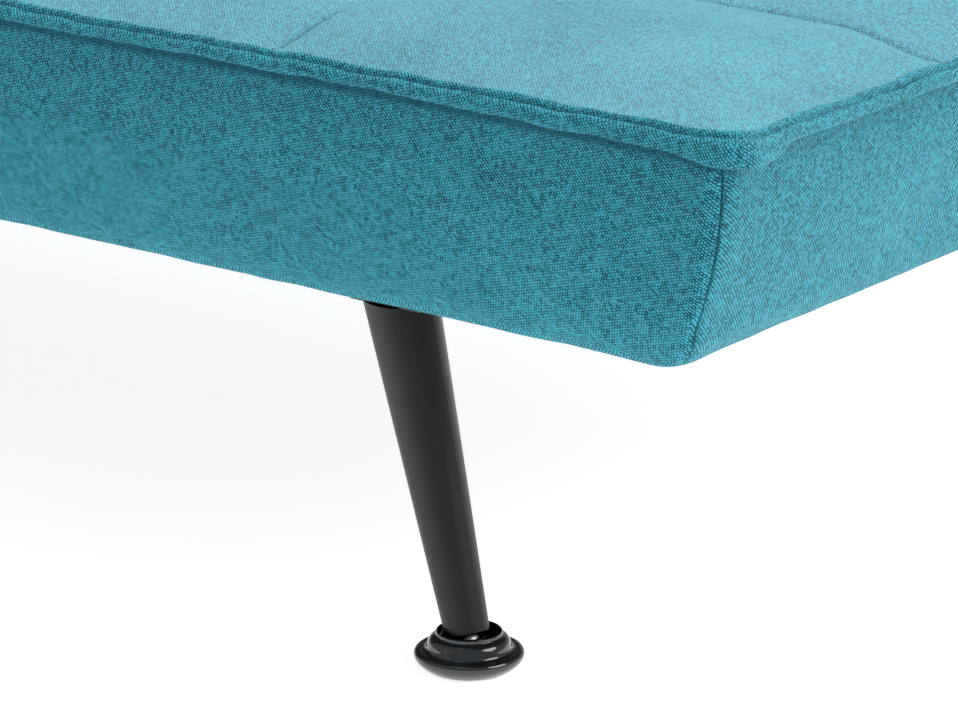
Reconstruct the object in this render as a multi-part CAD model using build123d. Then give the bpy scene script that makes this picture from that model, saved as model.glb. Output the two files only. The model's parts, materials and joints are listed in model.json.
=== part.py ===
from build123d import *
import math
import os

# Armless click-clack futon sofa bed, millimetres. It is laid out flat first, with the seat's front at y = 0
# and the floor at z = 0. The backrest's pieces are then raised about the hinge, and the origin goes to the
# middle of the base.

# ---- driving dimensions ----
LENGTH = 1830.0  # end to end
SEAT_DEPTH = 630.0
BACK_HEIGHT = 515.0
SLAB_TOP = 370.0  # top of the padding above the floor
SEAT_UNDERSIDE = 216.0
BACK_UNDERSIDE = 222.0  # with the back laid flat
SLAB_GAP = 24.0  # between seat and back when flat
END_LEAN = 33.0  # the ends lean in towards the bottom
FRONT_LEAN = 12.0  # and so do the long outer sides
TOP_EDGE_R = 38.0
BOTTOM_EDGE_R = 24.0
CORNER_R = 40.0
COVER = 4.0  # fabric with its backing wadding
CLEAR = 0.5  # between a cover and what it holds

PIVOT_Y = SEAT_DEPTH + SLAB_GAP / 2
PIVOT_Z = 336.0
SOFA_ANGLE = 75.0  # from flat to the upright back

FOAM_UNDERSIDE = 290.5
FRAME_T = 29.0  # thickness of the wood rails
FRAME_LOW = 220.5
HINGE_RAIL_LOW = 14.0  # the rail at the hinge starts this far above the others, over the rounded edge
FRAME_HALF = 840.0  # half the wood frame's length
FRAME_INSET = 50.5  # from the slab's outer long side to the wood frame
BRACE_W = 60.0
BRACE_H = 30.0
SLAT_COUNT = 8
SLAT_W = 70.0
SLAT_T = 12.0
CAP_DEPTH = 16.0

RAIL_X = 622.0  # side rails of the steel underframe
RAIL_W = 40.0
RAIL_H = 16.0
RAIL_TOP = 215.0
RAIL_WALL = 2.0
RAIL_FRONT = 84.0
RAIL_REAR = 828.0
RAIL_MID = (RAIL_FRONT + RAIL_REAR) / 2
CROSS_W = 30.0

BALL_X = 683.0  # ball joint of the front right foot
BALL_Y = 84.0
BALL_Z = 15.0
BALL_R = 6.0
LEG_TOP_X = 620.3
LEG_TOP_Y = 105.0
LEG_TOP_R = 20.8
LEG_END_R = 12.5
LEG_WALL = 1.8
LEG_END_UP = 4.5  # from the ball's centre to the leg's end
LEG_RECESS_R = 11.2  # hollow in the leg's end that clears the foot's socket
LEG_RECESS = 3.5
FORK_T = 4.0
FORK_FRONT = 88.0
FORK_REAR = 130.0
COLLAR_BORE_R = 17.2  # inside the foot's collar, round the leg's end

GROOVE_Z = 12.4  # floor of the ring the leg's end stands in
BACK_BOLT_OUT = 5.6  # from the back hinge plate to its bolts: clear of the plate, inside the rail's end
HINGE_X = 820.0  # inner face of the seat's hinge cheek
PLATE_T = 5.0
DISC_R = 24.0
POCKET_R = 26.0
PIN_R = 6.0
PAWL_PIN_Z = 294.0
PAWL_PIN_Y = PIVOT_Y - 2
PAWL_PIN_R = 3.0
TOOTH_COUNT = 12
TOOTH_DEPTH = 3.0

nodes = {}


def block(x0, x1, y0, y1, z0, z1):
    """A box between two corners."""
    return Pos((x0 + x1) / 2, (y0 + y1) / 2, (z0 + z1) / 2) * Box(abs(x1 - x0), abs(y1 - y0), z1 - z0)


def rod_x(x0, x1, y, z, radius):
    """A round bar along X."""
    return Pos((x0 + x1) / 2, y, z) * Rot(0, 90, 0) * Cylinder(radius, x1 - x0)


def rod_y(x, y0, y1, z, radius):
    """A round bar along Y."""
    return Pos(x, (y0 + y1) / 2, z) * Rot(90, 0, 0) * Cylinder(radius, y1 - y0)


def rod_z(x, y, z0, z1, radius):
    """A round bar along Z."""
    return Pos(x, y, (z0 + z1) / 2) * Cylinder(radius, z1 - z0)


def mirrored_x(shape):
    """The same piece on the left-hand side."""
    return shape.mirror(Plane.YZ)


def both_sides(shape):
    """A group of the piece and its left-hand twin."""
    return Compound(children=[shape, mirrored_x(shape)])


# ---- padded slabs ----
def slab(hinge_y, outer_y, low, inset):
    """A rounded slab whose ends and outer long side lean in towards the bottom."""
    outward = math.copysign(1, outer_y - hinge_y)
    radius = CORNER_R - inset
    widest = SLAB_TOP - TOP_EDGE_R
    top_depth = abs(outer_y - hinge_y) - 2 * inset
    low_depth = top_depth - FRONT_LEAN
    middle = (hinge_y + outer_y) / 2
    low_middle = middle - outward * FRONT_LEAN / 2
    low_face = Pos(0, low_middle, low + inset) * RectangleRounded(
        LENGTH - 2 * END_LEAN - 2 * inset, low_depth, radius
    )
    wide_face = Pos(0, middle, widest) * RectangleRounded(LENGTH - 2 * inset, top_depth, radius)
    body = loft([low_face, wide_face])
    body += extrude(wide_face, TOP_EDGE_R - inset)
    body = fillet(body.edges().group_by(Axis.Z)[-1], TOP_EDGE_R - inset - 0.1)
    return fillet(body.edges().group_by(Axis.Z)[0], BOTTOM_EDGE_R - inset)


def hinge_pockets():
    """Round pockets about the pivot line that the hinge discs turn in."""
    return both_sides(rod_x(HINGE_X - 8, HINGE_X + 24, PIVOT_Y, PIVOT_Z, POCKET_R))


def padding(name, hinge_y, outer_y, low):
    """Cover, foam pad and edge foam of the seat or the back."""
    outward = math.copysign(1, outer_y - hinge_y)
    pockets = hinge_pockets()
    inside = slab(hinge_y, outer_y, low, COVER)
    opening_half = FRAME_HALF - 40
    opening_near = hinge_y + outward * 45
    opening_far = outer_y - outward * 90
    opening = block(-opening_half, opening_half, opening_near, opening_far, low - 1, low + COVER + 1)
    cover = slab(hinge_y, outer_y, low, 0) - inside - opening - pockets
    core = slab(hinge_y, outer_y, low, COVER + CLEAR) - pockets
    reach = [-LENGTH, LENGTH, min(hinge_y, outer_y) - 10, max(hinge_y, outer_y) + 10]
    pad = core - block(*reach, 0, FOAM_UNDERSIDE)
    bay = block(
        -FRAME_HALF - CLEAR,
        FRAME_HALF + CLEAR,
        hinge_y - outward * 10,
        outer_y - outward * (FRAME_INSET - CLEAR),
        low - 1,
        FOAM_UNDERSIDE + 1,
    )
    edge = core - block(*reach, FOAM_UNDERSIDE - CLEAR, SLAB_TOP + 1) - bay
    nodes[name + "_cover"] = cover
    nodes[name + "_foam_pad"] = pad
    nodes[name + "_edge_foam"] = edge


def wood_frame(name, hinge_y, outer_y, low, outer_name, hinge_name):
    """Four wood rails and two braces inside the padding."""
    outward = math.copysign(1, outer_y - hinge_y)
    top = FOAM_UNDERSIDE - CLEAR
    hinge_face = hinge_y + outward * (COVER + 1.5)
    hinge_inner = hinge_face + outward * FRAME_T
    outer_face = outer_y - outward * FRAME_INSET
    outer_inner = outer_face - outward * FRAME_T
    nodes[name + outer_name] = block(-FRAME_HALF, FRAME_HALF, outer_inner, outer_face, low, top)
    hinge_low = low + HINGE_RAIL_LOW
    nodes[name + hinge_name] = block(-FRAME_HALF, FRAME_HALF, hinge_face, hinge_inner, hinge_low, top)
    end = block(FRAME_HALF - FRAME_T, FRAME_HALF, hinge_inner, outer_inner, low, top)
    brace = block(RAIL_X - BRACE_W / 2, RAIL_X + BRACE_W / 2, hinge_inner, outer_inner, low, low + BRACE_H)
    nodes[name + "_right_end_rail"] = end
    nodes[name + "_left_end_rail"] = mirrored_x(end)
    nodes[name + "_right_brace"] = brace
    nodes[name + "_left_brace"] = mirrored_x(brace)
    return min(hinge_inner, outer_inner), max(hinge_inner, outer_inner)


def slats(name, y0, y1):
    """A row of wood slats across the frame, each end held in a plastic cap on the rail's inner face."""
    low = FOAM_UNDERSIDE - CLEAR - SLAT_T
    boards = []
    caps = []
    for i in range(SLAT_COUNT):
        x = (i - (SLAT_COUNT - 1) / 2) * 2 * (FRAME_HALF - FRAME_T) / SLAT_COUNT
        board = block(x - SLAT_W / 2, x + SLAT_W / 2, y0 + 2, y1 - 2, low, low + SLAT_T)
        boards.append(board)
        for near, far in ((y0, y0 + CAP_DEPTH), (y1 - CAP_DEPTH, y1)):
            cap = block(x - SLAT_W / 2 - 3, x + SLAT_W / 2 + 3, near, far, low - 3, low + SLAT_T)
            caps.append(cap - board)
    nodes[name + "_slats"] = Compound(children=boards)
    nodes[name + "_slat_caps"] = Compound(children=caps)


padding("seat", SEAT_DEPTH, 0, SEAT_UNDERSIDE)
back_near = SEAT_DEPTH + SLAB_GAP
padding("back", back_near, back_near + BACK_HEIGHT, BACK_UNDERSIDE)
seat_bay = wood_frame("seat", SEAT_DEPTH, 0, FRAME_LOW, "_front_rail", "_rear_rail")
back_low = FRAME_LOW + BACK_UNDERSIDE - SEAT_UNDERSIDE
back_bay = wood_frame("back", back_near, back_near + BACK_HEIGHT, back_low, "_top_rail", "_bottom_rail")
slats("seat", *seat_bay)
slats("back", *back_bay)
nodes["seat_dust_cover"] = block(-832, 832, 62, SEAT_DEPTH - 34, RAIL_TOP, SEAT_UNDERSIDE)
nodes["back_rear_panel"] = block(
    -FRAME_HALF + 42,
    FRAME_HALF - 42,
    back_near + 47,
    back_near + BACK_HEIGHT - 92,
    BACK_UNDERSIDE,
    BACK_UNDERSIDE + COVER,
)

# ---- steel underframe ----
rail_inner = RAIL_X - RAIL_W / 2
rail_outer = RAIL_X + RAIL_W / 2
side_rail = block(rail_inner, rail_outer, RAIL_FRONT, RAIL_REAR, RAIL_TOP - RAIL_H, RAIL_TOP)
side_rail = fillet(side_rail.edges().filter_by(Axis.Y), 3)
side_rail -= block(
    RAIL_X - RAIL_W / 2 + RAIL_WALL,
    RAIL_X + RAIL_W / 2 - RAIL_WALL,
    RAIL_FRONT - 1,
    RAIL_REAR + 1,
    RAIL_TOP - RAIL_H + RAIL_WALL,
    RAIL_TOP - RAIL_WALL,
)


def cross_rail(y):
    """A rectangular tube welded between the side rails."""
    half = RAIL_X - RAIL_W / 2
    tube = block(-half, half, y - CROSS_W / 2, y + CROSS_W / 2, RAIL_TOP - RAIL_H, RAIL_TOP)
    return tube - block(
        -half - 1,
        half + 1,
        y - CROSS_W / 2 + RAIL_WALL,
        y + CROSS_W / 2 - RAIL_WALL,
        RAIL_TOP - RAIL_H + RAIL_WALL,
        RAIL_TOP - RAIL_WALL,
    )


nodes["front_cross_rail"] = cross_rail(RAIL_FRONT + 76)
nodes["middle_cross_rail"] = cross_rail(RAIL_MID)
nodes["rear_cross_rail"] = cross_rail(RAIL_REAR - 76)


def frame_bolt(y):
    """A bolt up through the side rail into the seat's wood brace."""
    low = RAIL_TOP - RAIL_H
    return rod_z(RAIL_X, y, low, FRAME_LOW + 20, 4) + rod_z(RAIL_X, y, low - 4, low, 7)


frame_bolts = [frame_bolt(y) for y in (230, 400, 560)]
for y in (230, 400, 560):
    side_rail -= rod_z(RAIL_X, y, RAIL_TOP - RAIL_H - 1, RAIL_TOP + 1, 4.1)
    for side in (RAIL_X, -RAIL_X):
        nodes["seat_dust_cover"] -= rod_z(side, y, RAIL_TOP - 1, SEAT_UNDERSIDE + 1, 4.5)
        nodes["seat_cover"] -= rod_z(side, y, RAIL_TOP - 1, FRAME_LOW, 4.5)
    nodes["seat_right_brace"] -= rod_z(RAIL_X, y, FRAME_LOW - 1, FRAME_LOW + 21, 4.05)
    nodes["seat_left_brace"] -= rod_z(-RAIL_X, y, FRAME_LOW - 1, FRAME_LOW + 21, 4.05)
nodes["frame_bolts"] = Compound(children=frame_bolts + [mirrored_x(b) for b in frame_bolts])

# rubber bumpers on the side rails carry the back when it lies flat
bumper_y = (back_near + RAIL_REAR) / 2
bumper = block(RAIL_X - 15, RAIL_X + 15, bumper_y - 45, bumper_y + 45, RAIL_TOP, BACK_UNDERSIDE - 0.4)
bumper = fillet(bumper.edges().filter_by(Axis.Z), 8)
bumper += rod_z(RAIL_X, bumper_y, RAIL_TOP - RAIL_WALL - 2, RAIL_TOP, 5)
side_rail -= rod_z(RAIL_X, bumper_y, RAIL_TOP - RAIL_WALL - 1, RAIL_TOP + 1, 5.05)
nodes["right_bumper"] = bumper
nodes["left_bumper"] = mirrored_x(bumper)

# ---- legs ----
ball = Vector(BALL_X, BALL_Y, BALL_Z)
saddle_low = RAIL_TOP - RAIL_H - FORK_T
axis_point = Vector(LEG_TOP_X, LEG_TOP_Y, saddle_low)
leg_dir = (axis_point - ball).normalized()
leg_plane = Plane(origin=ball + leg_dir * LEG_END_UP, z_dir=leg_dir)
leg_length = (axis_point - ball).length - LEG_END_UP
growth = (LEG_TOP_R - LEG_END_R) / leg_length


def leg_cone(start, shrink):
    """The leg's taper from start to past the rail, narrower all round by shrink."""
    over = 40.0
    low_r = LEG_END_R + growth * start - shrink
    high_r = LEG_TOP_R + growth * over - shrink
    height = leg_length + over - start
    return leg_plane * Pos(0, 0, start + height / 2) * Cone(low_r, high_r, height)


above_saddle = block(RAIL_X - 150, RAIL_X + 150, 0, 260, saddle_low, 400)
leg = leg_cone(0, 0) - leg_cone(12, LEG_WALL) - above_saddle
leg += block(
    rail_inner - FORK_T, rail_outer + FORK_T, FORK_FRONT, FORK_REAR, saddle_low, saddle_low + FORK_T
)
for side in (1, -1):
    inner = RAIL_X + side * (RAIL_W / 2 + 0.2)
    outer = RAIL_X + side * (RAIL_W / 2 + FORK_T)
    leg += block(min(inner, outer), max(inner, outer), FORK_FRONT, FORK_REAR, saddle_low, RAIL_TOP - 3)
stud_hole = 14.0
stud = Sphere(BALL_R).moved(Location(ball))
stud += Plane(origin=ball, z_dir=leg_dir) * Pos(0, 0, (LEG_END_UP + stud_hole) / 2) * Cylinder(
    2.5, LEG_END_UP + stud_hole
)
leg -= leg_plane * Pos(0, 0, stud_hole / 2 - 0.5) * Cylinder(2.55, stud_hole + 1)
leg -= leg_plane * Pos(0, 0, (LEG_RECESS - 1) / 2) * Cylinder(LEG_RECESS_R, LEG_RECESS + 1)
leg_bolts = []
for y in (FORK_FRONT + 9, FORK_REAR - 11):
    bolt_z = RAIL_TOP - RAIL_H / 2
    reach = RAIL_W / 2 + FORK_T
    leg_bolts.append(
        rod_x(RAIL_X - reach - 8, RAIL_X + reach + 1, y, bolt_z, 4)
        + rod_x(RAIL_X + reach, RAIL_X + reach + 4, y, bolt_z, 7)
        + rod_x(RAIL_X - reach - 6, RAIL_X - reach, y, bolt_z, 6.5)
    )
    leg -= rod_x(RAIL_X - reach - 1, RAIL_X + reach + 1, y, bolt_z, 4.1)
    for hole_y in (y, 2 * RAIL_MID - y):
        side_rail -= rod_x(RAIL_X - reach, RAIL_X + reach, hole_y, bolt_z, 4.1)

nodes["right_side_rail"] = side_rail
nodes["left_side_rail"] = mirrored_x(side_rail)

# ---- levelling foot: a bell with a collar round its ball socket ----
foot_outline = Polyline(
    (0, 0), (24, 0), (29.2, 4), (30.7, 8), (30.4, 10.2), (29, 11.4), (26, 11.2), (23.6, 12.6), (23, 15),
    (21, 19), (18.4, 20.4), (17.9, 21.6), (COLLAR_BORE_R + 0.2, 21.6), (COLLAR_BORE_R, 20.5),
    (COLLAR_BORE_R, GROOVE_Z), (9.5, GROOVE_Z), (9.5, 18.4), (0, 18.4),
    close=True,
)
foot = revolve(Plane.XZ * make_face(foot_outline), Axis.Z)
foot -= Pos(0, 0, BALL_Z) * Sphere(BALL_R + 0.08)
foot -= Pos(0, 0, BALL_Z + 4.2) * Cone(3.4, 6.2, 6.4)
foot = foot.moved(Location((BALL_X, BALL_Y, 0)))

rear_plane = Plane(origin=(0, RAIL_MID, 0), z_dir=(0, 1, 0))
plug = block(rail_inner, rail_outer, RAIL_FRONT - 2.5, RAIL_FRONT, RAIL_TOP - RAIL_H, RAIL_TOP)
plug = fillet(plug.edges().filter_by(Axis.Y), 3)
plug += block(
    RAIL_X - RAIL_W / 2 + RAIL_WALL,
    RAIL_X + RAIL_W / 2 - RAIL_WALL,
    RAIL_FRONT,
    RAIL_FRONT + 6,
    RAIL_TOP - RAIL_H + RAIL_WALL,
    RAIL_TOP - RAIL_WALL,
)


def four_corners(shape):
    """The piece at each corner of the underframe, by the corner's name."""
    rear = shape.mirror(rear_plane)
    return {
        "front_right": shape,
        "front_left": mirrored_x(shape),
        "rear_right": rear,
        "rear_left": mirrored_x(rear),
    }


for corner, piece in four_corners(leg).items():
    nodes[corner + "_leg"] = piece
for corner, piece in four_corners(foot).items():
    nodes[corner + "_foot"] = piece
nodes["leg_ball_studs"] = Compound(children=list(four_corners(stud).values()))
nodes["rail_end_plugs"] = Compound(children=list(four_corners(plug).values()))
all_leg_bolts = []
for bolt in leg_bolts:
    all_leg_bolts += list(four_corners(bolt).values())
nodes["leg_bolts"] = Compound(children=all_leg_bolts)

# ---- click-clack hinges ----
cheek_x = HINGE_X + PLATE_T
back_x = cheek_x + 1
flange_low = 250.0
flange_high = 318.0
seat_flange = [SEAT_DEPTH + 0.3, SEAT_DEPTH + 4.3]
back_flange = [back_near - 4.3, back_near - 0.3]
seat_plate = rod_x(HINGE_X, cheek_x, PIVOT_Y, PIVOT_Z, DISC_R)
seat_plate += block(HINGE_X, cheek_x, seat_flange[0], PIVOT_Y + 6, flange_low, PIVOT_Z)
seat_plate += block(HINGE_X - 45, cheek_x, *seat_flange, flange_low, flange_high)
seat_plate -= rod_x(HINGE_X - 1, cheek_x + 1, PIVOT_Y, PIVOT_Z, PIN_R + 0.05)
seat_plate -= rod_x(HINGE_X - 1, cheek_x + 1, PAWL_PIN_Y, PAWL_PIN_Z, PAWL_PIN_R + 0.02)

back_plate = rod_x(back_x, back_x + PLATE_T, PIVOT_Y, PIVOT_Z, DISC_R)
for i in range(TOOTH_COUNT):
    # notches between the ratchet teeth, over the part of the rim that passes the pawl
    angle = math.radians(-92 - i * 82 / (TOOTH_COUNT - 1))
    notch_y = PIVOT_Y + (DISC_R + 0.5) * math.cos(angle)
    notch_z = PIVOT_Z + (DISC_R + 0.5) * math.sin(angle)
    back_plate -= rod_x(back_x - 1, back_x + PLATE_T + 1, notch_y, notch_z, TOOTH_DEPTH / 2)
back_plate += block(back_x, back_x + PLATE_T, back_near - 5.5, back_flange[1], flange_low, PIVOT_Z)
back_plate += block(back_x, back_x + 50, *back_flange, flange_low, flange_high)
back_plate -= rod_x(back_x - 1, back_x + PLATE_T + 1, PIVOT_Y, PIVOT_Z, PIN_R + 0.05)

pivot_pin = rod_x(HINGE_X - 4, back_x + PLATE_T + 5, PIVOT_Y, PIVOT_Z, PIN_R)
pivot_pin += rod_x(HINGE_X - 7, HINGE_X - 3, PIVOT_Y, PIVOT_Z, 10)
washer = rod_x(back_x + PLATE_T + 0.3, back_x + PLATE_T + 2.3, PIVOT_Y, PIVOT_Z, 11)
washer -= rod_x(back_x, back_x + PLATE_T + 4, PIVOT_Y, PIVOT_Z, PIN_R + 0.02)
pawl_pin = rod_x(HINGE_X - 2, back_x + PLATE_T + 9, PAWL_PIN_Y, PAWL_PIN_Z, PAWL_PIN_R)

pawl_tip = PIVOT_Z - DISC_R - 0.5
pawl = rod_x(back_x, back_x + PLATE_T, PAWL_PIN_Y, PAWL_PIN_Z, 5.5)
pawl += block(back_x, back_x + PLATE_T, PAWL_PIN_Y - 2.2, PAWL_PIN_Y + 2.2, PAWL_PIN_Z - 22, pawl_tip)
pawl -= rod_x(back_x - 1, back_x + PLATE_T + 1, PAWL_PIN_Y, PAWL_PIN_Z, PAWL_PIN_R + 0.05)

# the pawl's torsion spring: three turns round the end of its pin
coil_pitch = 1.8
coil_r = 4.4
coil_x = back_x + PLATE_T + 2.2
coil_path = Helix(pitch=coil_pitch, height=3 * coil_pitch, radius=coil_r)
coil = sweep(Plane(origin=coil_path @ 0, z_dir=coil_path % 0) * Circle(0.7), path=coil_path, is_frenet=True)
pawl_spring = coil.moved(Location((coil_x, PAWL_PIN_Y, PAWL_PIN_Z), (0, 90, 0)))


def flange_bolts(x_values, head_y, tip_y, head_side):
    """Bolts through a hinge flange into the wood rail."""
    low_y = min(head_y, tip_y)
    high_y = max(head_y, tip_y)
    made = []
    for x in x_values:
        for z in (flange_low + 8, flange_low + 28):
            head = rod_y(x, min(head_y, head_y + head_side * 3), max(head_y, head_y + head_side * 3), z, 5.5)
            made.append(rod_y(x, low_y, high_y, z, 3) + head)
    return made


seat_bolts = flange_bolts((HINGE_X - 37, HINGE_X - 17), seat_flange[1], SEAT_DEPTH - 28, 1)
back_bolts = flange_bolts((back_x + PLATE_T + BACK_BOLT_OUT,), back_flange[0], back_near + 28, -1)
for z in (flange_low + 8, flange_low + 28):
    for x in (HINGE_X - 37, HINGE_X - 17):
        seat_plate -= rod_y(x, SEAT_DEPTH - 30, SEAT_DEPTH + 6, z, 3.1)
        for side in (x, -x):
            for holed in ("seat_cover", "seat_rear_rail"):
                nodes[holed] -= rod_y(side, SEAT_DEPTH - 28.5, SEAT_DEPTH + 6, z, 3.05)
    x = back_x + PLATE_T + BACK_BOLT_OUT
    back_plate -= rod_y(x, back_near - 8, back_near + 30, z, 3.1)
    for side in (x, -x):
        for holed in ("back_cover", "back_bottom_rail"):
            nodes[holed] -= rod_y(side, back_near - 6, back_near + 28.5, z, 3.05)

for name, piece in (
    ("seat_hinge_plate", seat_plate),
    ("back_hinge_plate", back_plate),
    ("hinge_pivot_pin", pivot_pin),
    ("hinge_pawl", pawl),
):
    nodes["right_" + name] = piece
    nodes["left_" + name] = mirrored_x(piece)
nodes["hinge_washers"] = both_sides(washer)
nodes["pawl_pins"] = both_sides(pawl_pin)
nodes["right_pawl_spring"] = pawl_spring
nodes["left_pawl_spring"] = mirrored_x(pawl_spring)
nodes["seat_hinge_bolts"] = Compound(children=seat_bolts + [mirrored_x(b) for b in seat_bolts])
nodes["back_hinge_bolts"] = Compound(children=back_bolts + [mirrored_x(b) for b in back_bolts])

# ---- raise the back, centre the sofa, write the files ----
pivot_line = Axis((0, PIVOT_Y, PIVOT_Z), (1, 0, 0))
for name in list(nodes):
    if name.startswith("back_") or name.endswith("back_hinge_plate"):
        nodes[name] = nodes[name].rotate(pivot_line, SOFA_ANGLE)
sofa_depth = nodes["back_cover"].bounding_box().max.Y
to_origin = Location((0, -sofa_depth / 2, 0))
os.makedirs("parts", exist_ok=True)
for name, shape in nodes.items():
    export_step(shape.moved(to_origin), "parts/" + name + ".step")
print(len(nodes), "nodes; depth", round(sofa_depth, 3))
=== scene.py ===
import json
import math

import bmesh
import bpy
from mathutils import Matrix, Vector, noise


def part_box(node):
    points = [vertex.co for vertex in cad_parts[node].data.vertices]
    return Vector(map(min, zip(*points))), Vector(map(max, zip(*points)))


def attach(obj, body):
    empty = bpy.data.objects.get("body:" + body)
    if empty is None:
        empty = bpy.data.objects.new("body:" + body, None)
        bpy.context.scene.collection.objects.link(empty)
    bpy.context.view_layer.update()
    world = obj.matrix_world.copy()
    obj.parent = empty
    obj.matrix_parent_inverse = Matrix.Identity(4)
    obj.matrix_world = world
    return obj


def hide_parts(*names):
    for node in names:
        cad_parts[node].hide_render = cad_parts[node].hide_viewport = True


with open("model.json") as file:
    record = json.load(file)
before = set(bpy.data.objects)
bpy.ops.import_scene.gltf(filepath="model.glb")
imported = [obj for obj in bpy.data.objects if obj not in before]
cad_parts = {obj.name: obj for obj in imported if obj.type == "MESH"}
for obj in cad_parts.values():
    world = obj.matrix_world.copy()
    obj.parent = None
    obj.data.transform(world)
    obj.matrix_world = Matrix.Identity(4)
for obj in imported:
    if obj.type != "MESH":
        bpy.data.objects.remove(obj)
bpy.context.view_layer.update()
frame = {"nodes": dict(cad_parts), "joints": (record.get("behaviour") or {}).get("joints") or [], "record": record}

bl_info = {
    "name": "Futon sofa bed",
    "version": (1, 0, 0),
    "blender": (4, 5, 0),
    "location": "View3D > Sidebar > Sofa",
    "description": "Upholstery, linings, levelling feet and finishes of a click-clack sofa bed",
    "category": "Add Mesh",
}

SEAT_LOW, SEAT_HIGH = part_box("seat_cover")
HINGE = next(j for j in frame["joints"] if j["name"] == "backrest_recline")
PIVOT = Vector(HINGE["pos_m"])
LAID_FLAT = math.radians(HINGE["range_deg"][1])
MM = 0.001


# ---------------------------------------------------------------- sizes and colours
class SofaSizes(bpy.types.PropertyGroup):
    """Sizes of the sofa's soft parts and feet"""

    end_lean: bpy.props.FloatProperty(
        name="End lean", description="How far the ends lean in at the bottom", default=0.033, unit="LENGTH"
    )
    front_lean: bpy.props.FloatProperty(
        name="Front lean", description="How far the front leans in at the bottom", default=0.012, unit="LENGTH"
    )
    welt_drop: bpy.props.FloatProperty(
        name="Welt drop", description="From the padding's top to the welt", default=0.020, unit="LENGTH"
    )
    corner: bpy.props.FloatProperty(
        name="Corner radius", description="Corner of the welt seen from above", default=0.015, unit="LENGTH"
    )
    back_height: bpy.props.FloatProperty(
        name="Back height", description="Backrest from hinge side to top", default=0.515, unit="LENGTH"
    )
    back_thickness: bpy.props.FloatProperty(
        name="Back thickness", description="Backrest's padding, front to rear", default=0.148, unit="LENGTH"
    )
    columns: bpy.props.IntProperty(name="Columns", description="Quilted blocks along the length", default=6)
    seat_rows: bpy.props.IntProperty(name="Seat rows", description="Quilted blocks across the seat", default=3)
    back_rows: bpy.props.IntProperty(name="Back rows", description="Quilted blocks up the back", default=2)
    thread: bpy.props.FloatProperty(
        name="Thread", description="Width of one thread of the weave", default=0.0011, unit="LENGTH"
    )


class SofaColours(bpy.types.PropertyGroup):
    """Colours of the sofa's finishes"""

    cloth_light: bpy.props.FloatVectorProperty(
        name="Light thread", description="Lighter threads", default=(0.046, 0.316, 0.398), size=3, subtype="COLOR"
    )
    cloth_dark: bpy.props.FloatVectorProperty(
        name="Dark thread", description="Gaps between the threads", default=(0.002, 0.050, 0.074), size=3,
        subtype="COLOR"
    )
    # Colour of the painted sheen on the top and, fainter, on the ends, standing in for light catching the flattened
    # pile
    nap_and_sheen: bpy.props.FloatVectorProperty(
        name="Nap", description="Brushed nap where it lies flat on top", default=(0.42, 0.66, 0.72), size=3,
        subtype="COLOR"
    )
    black: bpy.props.FloatVectorProperty(
        name="Black paint", description="Legs and underframe", default=(0.0050, 0.0051, 0.0062), size=3,
        subtype="COLOR"
    )
    wood: bpy.props.FloatVectorProperty(
        name="Wood", description="Frame rails and slats", default=(0.56, 0.37, 0.19), size=3, subtype="COLOR"
    )


# ---------------------------------------------------------------- shader wiring
class Wire:
    """A shader value that can be written into sums and products."""

    def __init__(self, nodes, socket):
        self.nodes = nodes
        self.socket = socket

    def math(self, operation, *values):
        return self.nodes.add("ShaderNodeMath", {"operation": operation}, dict(enumerate((self, *values))))

    def __add__(self, other):
        return self.math("ADD", other)

    __radd__ = __add__

    def __mul__(self, other):
        return self.math("MULTIPLY", other)

    __rmul__ = __mul__

    def __sub__(self, other):
        return self.math("SUBTRACT", other)

    def __rsub__(self, other):
        return self.nodes.add("ShaderNodeMath", {"operation": "SUBTRACT"}, {0: other, 1: self})

    def __truediv__(self, other):
        return self.math("DIVIDE", other)

    def __abs__(self):
        return self.math("ABSOLUTE")

    def fraction(self):
        return self.math("FRACT")

    def floor(self):
        return self.math("FLOOR")

    def low_of(self, other):
        return self.math("MINIMUM", other)

    def ramp(self, low, high):
        """0 below low and 1 above high, with a soft step between."""
        return self.nodes.add(
            "ShaderNodeMapRange",
            {"interpolation_type": "SMOOTHSTEP"},
            {"Value": self, "From Min": low, "From Max": high},
            "Result",
        )


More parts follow.
